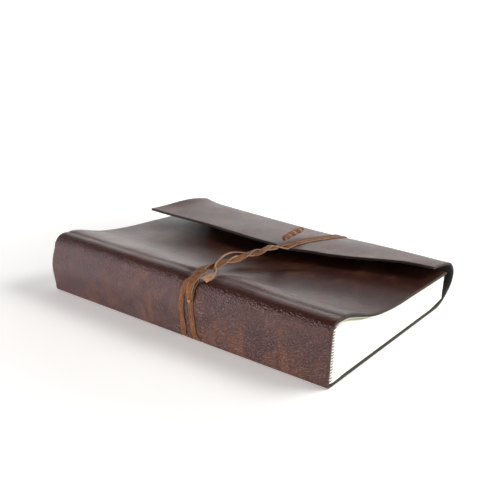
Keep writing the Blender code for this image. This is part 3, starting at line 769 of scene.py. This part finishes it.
def shell(name, outer, inner, facing, uv, free, materials):
    """A closed sheet between two grids. Its free borders are rounded, the others meet a neighbour.

    free names the free borders: left, right, first and last. Materials are the outer side's, the cut
    edge's and the inner side's.
    """
    rows, columns = outer.shape[:2]
    away = np.zeros_like(outer)
    across = unit(np.gradient(outer, axis=0))
    ahead = unit(np.gradient(outer, axis=1))
    if "left" in free:
        away[0] -= across[0]
    if "right" in free:
        away[-1] += across[-1]
    if "first" in free:
        away[:, 0] -= ahead[:, 0]
    if "last" in free:
        away[:, -1] += ahead[:, -1]
    ring = ([(i, 0) for i in range(rows)] + [(rows - 1, j) for j in range(1, columns)]
            + [(i, columns - 1) for i in range(rows - 2, -1, -1)]
            + [(0, j) for j in range(columns - 2, 0, -1)])
    ri, rj = np.array(ring).T
    depth = np.linalg.norm(inner - outer, axis=2, keepdims=True)
    into = unit(inner - outer)
    corner = into[ri, rj] * np.minimum(EDGE_ROUND, depth[ri, rj] * 0.3)
    points = np.concatenate([(outer - away * EDGE_ROUND).reshape(-1, 3),
                             (inner - away * EDGE_ROUND).reshape(-1, 3),
                             outer[ri, rj] + corner, inner[ri, rj] - corner])
    normals = np.concatenate([(facing + away * 0.35).reshape(-1, 3), (-facing + away * 0.35).reshape(-1, 3),
                              facing[ri, rj] * 0.5 + away[ri, rj], -facing[ri, rj] * 0.5 + away[ri, rj]])
    maps = np.concatenate([uv.reshape(-1, 2), uv.reshape(-1, 2), uv[ri, rj], uv[ri, rj]])

    number = np.arange(rows * columns).reshape(rows, columns)
    a, b, c, d = number[:-1, :-1], number[:-1, 1:], number[1:, 1:], number[1:, :-1]
    top = np.stack([a, b, c, d], -1).reshape(-1, 4)
    bottom = top[:, ::-1] + rows * columns
    on_ring = number[ri, rj]
    after = np.roll(np.arange(len(ring)), -1)
    here = np.arange(len(ring))
    sides = 2 * rows * columns
    loops = (on_ring, sides + here, sides + len(ring) + here, on_ring + rows * columns)
    faces, kinds = [top, bottom], [np.zeros(len(top)), np.full(len(bottom), 2)]
    for upper, lower in zip(loops, loops[1:]):
        faces.append(np.stack([upper, upper[after], lower[after], lower], 1))
        kinds.append(np.ones(len(ring)))
    return make_piece(name, points, np.concatenate(faces), materials, np.concatenate(kinds), maps, HIDE_MAP,
                      normals)


def claim(piece, slot, nodes, fold=None, body=None):
    """Bake a piece's transform in place where a fold is named, or let it ride on a body, and hide the nodes
    that it stands for. The slot is not used.
    """
    if fold:
        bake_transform(piece)
    else:
        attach(piece, body)
    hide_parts(*nodes)


# ---------------------------------------------------------------- hide and lining
def hide_pieces(hide):
    """(name ending, first column, last column, free borders, fold)."""
    col = hide.column
    turn_under = col["underside"][0] + 2
    mid_run = (col["run"][0] + col["run"][1]) // 2
    mid_band = col["band_high"][0] + 3
    last = col["flap"][1]
    return (
        ("cover", 0, turn_under, ("left", "right", "first"), "cover"),
        ("back", turn_under, mid_run, ("left", "right"), "rise"),
        ("band", mid_run, mid_band, ("left", "right"), "band"),
        ("flap", mid_band, last, ("left", "right", "last"), "flap"),
    )


HIDE_NODES = {
    "cover": ("front_cover_leather", "spine_leather"),
    "back": ("back_cover_leather",),
    "band": ("band_lower_leather", "band_upper_leather"),
    "flap": ("flap_leather",),
}


def polish_spine_end(piece):
    """The spine's ends are turned and polished, so they look like its outer side."""
    behind = ORIGIN.y + (SHOULDER_Y - 3) * MM
    for face in piece.data.polygons:
        if face.material_index == 1 and face.center.y < behind:
            face.material_index = 0


def make_hide(hide, leather, edge, flesh):
    inner = hide.base - hide.base_normals * LEATHER
    for ending, first, last, free, fold in hide_pieces(hide):
        cut = np.s_[:, first:last + 1]
        made = shell(f"hide_{ending}", hide.skin[cut], inner[cut], hide.normals[cut], hide.map[cut], free,
                     (leather, edge, flesh))
        if ending == "cover":
            polish_spine_end(made)
        claim(made, "outer_leather", HIDE_NODES[ending], fold)


LINING_NODES = {
    "cover": ("front_cover_lining", "spine_lining"),
    "back_spine_side": ("back_lining_spine_side",),
    "back_fore_side": ("back_lining_fore_side",),
    "band": ("band_lower_lining", "band_upper_lining"),
    "flap": ("flap_lining",),
}
LINING_STEP = 2                  # the lining's mesh has every second row of the hide's


def make_lining(hide, lining, edge):
    outer = hide.base - hide.base_normals * LINING_DEPTH
    inner = hide.base - hide.base_normals * (LINING_DEPTH + LINING)
    rows = np.unique(np.append(np.arange(0, len(X_STATIONS), LINING_STEP), len(X_STATIONS) - 1))
    joint = hide.column["underside"][0] + int(np.argmin(
        np.abs(hide.base[0, slice(*hide.column["underside"]), 1] - LINING_JOINT_Y)))
    for ending, first, last, free, fold in hide_pieces(hide):
        spans = [(ending, first, last, free)]
        if ending == "back":
            spans = [("back_spine_side", first, joint, (*free, "last")),
                     ("back_fore_side", joint, last, (*free, "first"))]
        for name, start, end, borders in spans:
            columns = np.arange(start, end + 1)
            cut = np.ix_(rows, columns)
            made = shell(f"inner_{name}", outer[cut], inner[cut], hide.base_normals[cut], hide.map[cut],
                         borders, (lining, edge, lining))
            follows = {"body": "book"} if name == "back_spine_side" else {"fold": fold}
            claim(made, "lining_leather", LINING_NODES[name], **follows)


# ---------------------------------------------------------------- the page block
BLOCK_STATIONS = np.concatenate([[0.0, 40, 80, 118], np.arange(140, 216, 6),
                                 [226, 244, 262, 276, 288, 296, 300]])
LEAF_Y = np.array([9.0, 18, 29, 42, 56, 72, 92, 120, 160, 190, BLOCK_FORE_Y])
GLUE_HEIGHT = 0.45               # from the middle of a gathering's fold, where the glue begins to show


def block_profile(x, y):
    """(lowest, highest) of the sewn sections at x and y."""
    depth = COVER_DEPTH + GAP + PAPER_SHEET + GAP
    share = x / LENGTH
    slack = LEFT_SLACK * (1 - share) * ease(y / COVER_EDGE_Y)
    past_rise = np.maximum(y - RISE_Y, 0.0)
    low = FOLD_RADIUS - np.sqrt((FOLD_RADIUS - depth) ** 2 - past_rise**2)
    # At the right end the first leaves curl down from the cover, just past the shoulder.
    curl = 3.0 * ease((x - 262) / 36) * hump(y - 36, 19)
    press = np.maximum(lace_press(x, y), -0.4)
    return low, cover_height(x, y) - depth - slack - press - curl


def block_end(y):
    """X of the block's right end: flush with the leather at the spine, and drawn in away from it."""
    return LENGTH + 0.1 - (BLOCK_INSET + 0.1) * ease((y - 8) / 25)


def folded_sheet(number, leaf):
    """One folded sheet of a gathering, as a closed outline at each station."""
    trim = rng.uniform(-0.35, 0.25, 2)
    end_shift = rng.uniform(-0.16, 0.16, 2)
    layers = 2 * LEAVES_IN_SECTION
    rows = []
    for x in BLOCK_STATIONS:
        x_here = min(max(x, BLOCK_INSET + end_shift[0] + 0.2), LENGTH)
        low, high = block_profile(x_here, LEAF_Y)
        pitch = (high - low) / SECTIONS
        bottom = low + pitch * number
        legs = []
        for layer, fore in ((leaf, trim[0]), (layers - 1 - leaf, trim[1])):
            y_leg = LEAF_Y.copy()
            y_leg[-1] += fore
            under = bottom + pitch * (layer + 0.06) / layers
            over = bottom + pitch * (layer + 0.94) / layers
            legs.append((y_leg, under, over))
        spine_low, spine_high = low[0], min(high[0], SPINE_TOP_Z - COVER_DEPTH - 2.4)
        fold_pitch = (spine_high - spine_low) / SECTIONS
        middle = spine_low + fold_pitch * (number + 0.5)
        half = fold_pitch / 2 * (1 - (leaf + 0.12) / LEAVES_IN_SECTION)
        wall = fold_pitch / layers * 0.88
        # At the right end the folds swell out to the leather, past the end of the lining.
        swell = NOSE_SWELL * ease((x - 284) / 14)
        nose_y = BLOCK_SPINE_Y - swell + leaf * 0.32
        nose = FOLD_NOSE + swell * 0.9
        turn = np.radians(np.array([90, 60, 30, 0, -30, -60, -90]))
        sharp = 0.85 * ease((x - 284) / 14)
        back = [nose * ((1 - sharp) * (1 - math.cos(a)) + sharp * abs(math.sin(a)) ** 1.25) for a in turn]
        outer = [(nose_y + b, middle - half * math.sin(a)) for a, b in zip(turn, back)]
        thin = max(half - wall, 0.04)
        inner = [(nose_y + wall + b, middle - thin * math.sin(a)) for a, b in zip(turn, back)]
        lower, upper = legs
        outline = list(zip(lower[0][::-1], lower[1][::-1])) + outer + list(zip(upper[0], upper[2]))
        outline += list(zip(upper[0][::-1], upper[1][::-1])) + inner[::-1] + list(zip(lower[0], lower[2]))
        rows.append([(min(x_here, block_end(a) + end_shift[1] - 0.2), a, b) for a, b in outline])
    return np.array(rows)


def tube(count, around):
    """Numbers of a tube's points, by ring, and the faces between its rings."""
    number = np.arange(count * around).reshape(count, around)
    after = np.roll(number, -1, axis=1)
    return number, np.stack([number[:-1], after[:-1], after[1:], number[1:]], -1).reshape(-1, 4)


def prism(rows):
    """Points and faces of a closed solid through a row of outlines, with strip caps at its ends."""
    count, around = rows.shape[:2]
    number, sides = tube(count, around)
    half = around // 2
    caps = []
    for row, flip in ((number[0], False), (number[-1], True)):
        for i in range(half - 1):
            face = (row[i + 1], row[i], row[around - 1 - i], row[around - 2 - i])
            caps.append(face[::-1] if flip else face)
    return rows.reshape(-1, 3), np.concatenate([sides, np.array(caps)])


def join_meshes(parts):
    points, faces, count = [], [], 0
    for some, quads in parts:
        points.append(some)
        faces.append(quads + count)
        count += len(some)
    return np.concatenate(points), np.concatenate(faces)


def sharpen(piece, degrees=35.0):
    piece.data.set_sharp_from_angle(angle=math.radians(degrees))


def glue_between(piece, outer_sheet):
    """The binding glue that shows in the notches between one gathering's fold and the next."""
    near = ORIGIN.y + (BLOCK_SPINE_Y + FOLD_NOSE) * MM
    middle = np.mean([vertex.co.z for vertex in piece.data.vertices if vertex.co.y < near])
    for face in piece.data.polygons:
        if face.index < len(outer_sheet[1]) and face.center.y < near and abs(face.normal.x) < 0.7:
            if abs(face.center.z - middle) > GLUE_HEIGHT * MM:
                face.material_index = 1


def make_pages(paper, end_paper_painted_shade, glue):
    for number in range(SECTIONS):
        sheets = [prism(folded_sheet(number, leaf)) for leaf in range(LEAVES_IN_SECTION)]
        points, faces = join_meshes(sheets)
        made = make_piece(f"gathering_{number + 1:02d}", points, faces, [paper, glue])
        glue_between(made, sheets[0])
        sharpen(made)
        claim(made, "page_paper", (f"page_section_{number + 1:02d}",), body="book")
    for name, node, top in (("leaf_front", "front_endpaper", True), ("leaf_back", "back_endpaper", False)):
        y = LEAF_Y
        rows = []
        for x in BLOCK_STATIONS:
            x_here = min(max(x, BLOCK_INSET), LENGTH - BLOCK_INSET)
            low, high = block_profile(x_here, y)
            # The front endpaper stays with the cover where the leaves curl away from it.
            stay = 2.6 * ease((x_here - 262) / 36) * hump(y - 36, 19)
            under = high + GAP * 0.5 + stay if top else low - GAP * 0.5 - PAPER_SHEET
            line = np.stack([np.full_like(y, x_here), y, under], 1)
            rows.append(np.concatenate([line[::-1], line + np.array([0, 0, PAPER_SHEET])]))
        points, faces = prism(np.array(rows))
        made = make_piece(name, points, faces, [end_paper_painted_shade])
        sharpen(made)
        claim(made, "endpaper", (node,), body="book")


# ---------------------------------------------------------------- lace pieces
RIBBON_SIDES = 14
TIE_STEP = 1.2                   # between a tie strand's rows
UNDER_ROW = 60                   # a station of the hide's between the two strands underneath
EDGE_CORNERS = {13, 0, 1, 6, 7, 8}  # of those, the ones on the two narrow edges


def ribbon(name, line, facing, looks, width=LACE_WIDTH, thickness=LACE, torn_end=False, wear=0.12):
    """A flat lace along a line, with rounded edges that wander a little."""
    line, facing = np.asarray(line, float), np.asarray(facing, float)
    along = unit(np.gradient(line, axis=0))
    facing = unit(facing - along * np.sum(facing * along, 1, keepdims=True))
    side = np.cross(along, facing)
    count = len(line)
    run = run_along(line)
    wander = sum(np.sin(run / size + rng.uniform(0, 6.3)) for size in (1.3, 2.9, 6.1)) / 3
    half = width / 2 * (1 + wear * wander)
    thick = thickness / 2 * (1 + wear * 0.8 * np.roll(wander, 3))
    shift = np.zeros(count)
    if torn_end:
        torn = ease((run - run[-1] + 4.2) / 4.2)
        half = half * (1 - 0.62 * torn)
        shift = 0.9 * torn
        thick = thick * (1 - 0.45 * torn)
    angle = np.arange(RIBBON_SIDES) * 2 * np.pi / RIBBON_SIDES
    cosine, sine = np.cos(angle), np.sin(angle)
    flat = np.sign(cosine) * np.abs(cosine) ** 0.45, np.sign(sine) * np.abs(sine) ** 0.75
    rows = (line[:, None] + side[:, None] * (shift[:, None] + half[:, None] * flat[0][None])[..., None]
            + facing[:, None] * (np.broadcast_to(thick, (count,))[:, None] * flat[1][None])[..., None])
    points = rows.reshape(-1, 3)
    number, quads = tube(count, RIBBON_SIDES)
    faces = [*np.roll(quads[:, ::-1], 1, axis=1), number[0], number[-1][::-1]]
    kinds = [0] * len(quads) + [1, 1]
    # Round the lace, in metres from one edge: over the broad side and back under it.
    around = np.arccos(np.clip(cosine, -1, 1)) / np.pi * LACE_WIDTH * MM
    uv = np.stack([np.repeat(run * MM, RIBBON_SIDES), np.tile(around, count)], 1)
    made = make_piece(name, points, faces, looks, kinds, uv, LACE_MAP)
    sharpen(made, 50)
    return made


def pressed(heights):
    """The lace's thickness at a height: the book's weight presses it thinner underneath."""
    return LACE - 0.32 * ease((6 - heights) / 4)


def spine_path(hide, side):
    """From the underside up the spine and over the shoulder."""
    col = hide.column
    first = col["underside"][0] + 2
    last = col["shoulder"][0] + 5
    columns = np.arange(first, last, -0.5)
    i = len(X_STATIONS) // 2
    heights = hide.read(i, columns, 2)
    x = through(SPINE_STRANDS[side], heights)
    return hide.on(x, columns, pressed(heights) / 2 + LACE_LIFT)


def tie_strand(hide, side, looks):
    """One strand from the underside over the spine, twisted with the other, to the flap's free edge."""
    lower, lower_facing = spine_path(hide, side)
    middle = smooth_line(BUNDLE_ROUTE, 1.5)
    steps = len(middle) - 1
    share = np.arange(steps + 1) / steps
    along = unit(np.gradient(middle, axis=0))
    level = unit(np.cross(along, np.array([0.0, 0, 1])))
    up = np.cross(level, along)
    # The strands lie beside each other, leaning like a roof, and change sides where they cross.
    angle = math.pi * side + 2 * math.pi * BUNDLE_TURNS * share
    sideways, upward = np.cos(angle), np.sin(angle)
    part = BUNDLE_HALF[0] * (1 + 0.35 * ease((share - 0.55) / 0.2) * ease((1 - share) / 0.1))
    pair = middle + level * (part * sideways)[:, None] + (
        up * (BUNDLE_HALF[1] * np.sign(upward) * np.abs(upward) ** 0.6)[:, None])
    goal, goal_facing = flap_strand_start(hide, side)
    settle = ease((share - 0.80) / 0.2)[:, None]
    lean = unit(up + level * (0.75 * sideways)[:, None])
    pair_facing = unit(lean * (1 - settle) + goal_facing * settle)
    line = np.concatenate([lower, pair[2:-4], goal[None]])
    faces = np.concatenate([lower_facing, pair_facing[2:-4], goal_facing[None]])
    run = run_along(line)
    places = np.linspace(0, run[-1], int(run[-1] / TIE_STEP))
    for k in range(1, len(faces)):
        if np.dot(faces[k], faces[k - 1]) < 0:
            faces[k] = -faces[k]
    line = np.stack([np.interp(places, run, line[:, k]) for k in range(3)], 1)
    faces = np.stack([np.interp(places, run, faces[:, k]) for k in range(3)], 1)
    free = ease((places - 60) / 8)[:, None]
    for _ in range(3):
        soft = line.copy()
        soft[1:-1] = (line[:-2] + 2 * line[1:-1] + line[2:]) / 4
        line = line * (1 - free) + soft * free
        faces[1:-1] = (faces[:-2] + 2 * faces[1:-1] + faces[2:]) / 4
    made = ribbon(f"lace_tie_{side + 1}", line, faces, looks, thickness=pressed(line[:, 2]))
    claim(made, "lace_leather", (f"lace_spine_{side + 1}", f"lace_cover_{side + 1}"), fold="cover")


def flap_strand_start(hide, side):
    """Where a strand comes on to the flap's free edge, and the way that the flap faces there."""
    last = hide.column["flap"][1]
    x = np.array([FLAP_STRANDS[side][0][1] + 0.6])
    point, facing = hide.on(x, np.array([last - 0.01]), LACE / 2 + LACE_LIFT)
    point = point[0] + np.array([-1.2, -3.0, -0.6])
    return point, facing[0]


def flap_columns(hide):
    return hide_pieces(hide)[3][1], hide.column["flap"][1]


def flap_strand(hide, side, looks):
    first, last = flap_columns(hide)
    columns = np.arange(first, last + 0.01, 0.5)
    x = np.full(len(columns), BAND_STRAND_X[side])
    for _ in range(4):
        y = np.array([hide.read(int(np.argmin(np.abs(X_STATIONS - here))), column, 1)
                      for column, here in zip(columns, x)])
        x = through(FLAP_STRANDS[side], y)
        x[y > 225] = BAND_STRAND_X[side]
    line, facing = hide.on(x, columns, LACE / 2 + LACE_LIFT)
    start, start_facing = flap_strand_start(hide, side)
    line = np.concatenate([line, start[None]])
    facing = np.concatenate([facing, start_facing[None]])
    for _ in range(2):
        line[1:-1] = (line[:-2] + 2 * line[1:-1] + line[2:]) / 4
    made = ribbon(f"lace_over_flap_{side + 1}", line, facing, looks)
    claim(made, "lace_leather", (f"lace_flap_{side + 1}",), fold="flap")


def band_strand(hide, side, looks):
    _, first, last, _, _ = hide_pieces(hide)[2]
    columns = np.arange(first, last + 0.01, 0.5)
    line, facing = hide.on(np.full(len(columns), BAND_STRAND_X[side]), columns, LACE / 2 + LACE_LIFT)
    made = ribbon(f"lace_round_band_{side + 1}", line, facing, looks)
    claim(made, "lace_leather", (f"lace_band_lower_{side + 1}", f"lace_band_upper_{side + 1}"), fold="band")


def under_strand(hide, side, looks):
    _, first, last, _, _ = hide_pieces(hide)[1]
    columns = np.arange(first, last + 0.01, 1.0)
    share = np.clip((hide.read(UNDER_ROW, columns, 1) - 3) / (RISE_Y - 3), 0, 1)
    x = UNDER_START_X[side] + (BAND_STRAND_X[side] - UNDER_START_X[side]) * share
    thickness = pressed(hide.read(UNDER_ROW, columns, 2))
    line, facing = hide.on(x, columns, thickness / 2 + LACE_LIFT)
    made = ribbon(f"lace_beneath_{side + 1}", line, facing, looks, thickness=thickness, wear=0.04)
    claim(made, "lace_leather", (f"lace_under_{side + 1}",), fold="rise")


def towards(line, ways):
    """Directions that change smoothly along a line, from one to the next of ways: (share, direction)."""
    share = np.linspace(0, 1, len(line))
    return np.stack([through([(s, way[k]) for s, way in ways], share) for k in range(3)], 1)


def loop_tail(looks, pale):
    """The tail that loops back from the knot and ends in a pale, pressed-flat tip."""
    line = smooth_line(LOOP_TAIL_ROUTE, 1.0)
    share = np.linspace(0, 1, len(line))
    facing = towards(line, ((0.0, (-0.1, 0.3, 0.95)), (0.2, (-0.3, 0.2, 0.93)), (0.4, (-0.6, -0.1, 0.8)),
                            (0.6, (-0.8, -0.4, 0.45)), (0.78, (-0.78, -0.5, 0.4)), (0.9, (0.1, -0.8, 0.6)),
                            (1.0, (0.35, -0.75, 0.55))))
    widths = LACE_WIDTH * (0.92 + 0.45 * ease((share - 0.84) / 0.08))
    made = ribbon("lace_loop_end", line, facing, [looks, pale], width=widths)
    tip = share > 0.84
    for face in made.data.polygons:
        station = min(vertex // RIBBON_SIDES for vertex in face.vertices)
        on_edge = {vertex % RIBBON_SIDES for vertex in face.vertices} & EDGE_CORNERS
        if tip[station] or len(on_edge) == 2:
            face.material_index = 1
    claim(made, "lace_leather", ("lace_loop_tail",), body="front_cover")


def flat_tail(looks):
    """The short tail that hangs from the knot over the spine, torn at its end."""
    line = smooth_line(FLAT_TAIL_ROUTE, 0.8)
    facing = towards(line, ((0.0, (0.0, -0.1, 1.0)), (0.25, (0.05, -0.5, 0.8)), (0.5, (0.12, -1.0, 0.15)),
                            (1.0, (0.1, -1.0, 0.0))))
    made = ribbon("lace_flat_end", line, facing, looks, width=LACE_WIDTH * 1.3, torn_end=True)
    stations = len(line)
    for face in made.data.polygons:
        if min(vertex // RIBBON_SIDES for vertex in face.vertices) > stations - 5:
            face.material_index = 1
    claim(made, "lace_leather", ("lace_flat_tail",), fold="cover")


def coil_tail(looks):
    """The tail wound round itself: a tight roll whose overlapping edge runs round it as a spiral step."""
    line = smooth_line(COIL_TAIL_ROUTE, 0.7)
    count = len(line)
    share = np.linspace(0, 1, count)
    along = unit(np.gradient(line, axis=0))
    level = unit(np.cross(along, np.array([0.0, 0, 1])))
    up = np.cross(level, along)
    sides = 28
    angle = np.arange(sides) * 2 * np.pi / sides
    winding = (angle[None] / (2 * np.pi) + share[:, None] * COIL_TURNS) % 1.0
    step = 1.15 * winding - 0.95 * hump(winding - 1.0, 0.06) - 0.1 * hump(winding, 0.05)
    body = COIL_RADIUS * (0.66 + 0.16 * np.sin(share * np.pi) ** 0.6)[:, None] + step
    body = body * (0.72 + 0.28 * ease(share / 0.1))[:, None]
    rows = (line[:, None] + (level[:, None] * np.cos(angle)[None, :, None]
                             + up[:, None] * (np.sin(angle) * COIL_FLAT)[None, :, None]) * body[..., None])
    hollow = []
    for inset, deep in ((0.72, 0.0), (0.6, 1.6), (0.2, 2.2)):
        centre = line[-1] - along[-1] * deep
        hollow.append(centre + (rows[-1] - line[-1]) * inset)
    rows = np.concatenate([rows, np.array(hollow)])
    count = len(rows)
    number, quads = tube(count, sides)
    faces = [*quads, number[0][::-1], number[-1]]
    run = np.linspace(0, 42 * MM, count)
    # Across the lace, so that its lighter edges, partly a painted highlight, run along the spiral step.
    across = np.concatenate([0.05 + 0.90 * winding, np.full((3, sides), 0.5)]) * LACE_WIDTH * MM
    uv = np.stack([np.repeat(run * 0.4, sides) + np.tile(angle, count) * COIL_RADIUS * MM,
                   across.ravel()], 1)
    made = make_piece("lace_coiled_end", rows.reshape(-1, 3), faces, [looks], None, uv, LACE_MAP)
    sharpen(made, 60)
    claim(made, "lace_leather", ("lace_coil_tail",), body="flap")


def make_lace(hide):
    suede = lace_looks("lace_suede")
    pale = lace_looks("lace_cut_tip", pale=True)
    both = [suede, pale]
    loop_tail(suede, pale)
    coil_tail(suede)
    for side in range(2):
        tie_strand(hide, side, both)
        flap_strand(hide, side, both)
        band_strand(hide, side, both)
        under_strand(hide, side, both)
    flat_tail(both)


def dress_bindings():
    cloth = cloth_looks()
    for name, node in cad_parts.items():
        if name.startswith("sewing_tape") or name == "spine_mull":
            node.data.materials.clear()
            node.data.materials.append(cloth)


# ---------------------------------------------------------------- the scene
bpy.context.scene.view_settings.view_transform = "Standard"
make_camera()
hide = Hide()
make_lace(hide)
leather, edge, lining = leather_looks(), cut_edge_looks(), lining_looks()
make_hide(hide, leather, edge, edge)
make_lining(hide, lining, edge)
# The endpapers are a darker, greener cream than the pages: painted shade.
make_pages(paper_looks("page_paper", (0.90, 0.885, 0.83), (0.95, 0.94, 0.90)),
           paper_looks("end_paper_painted_shade", (0.74, 0.74, 0.56), (0.84, 0.83, 0.68)),
           paper_looks("binding_glue", (0.17, 0.065, 0.012), (0.46, 0.21, 0.045)))
dress_bindings()
make_world()
make_floor()
for light in LIGHTS:
    area_light(*light)
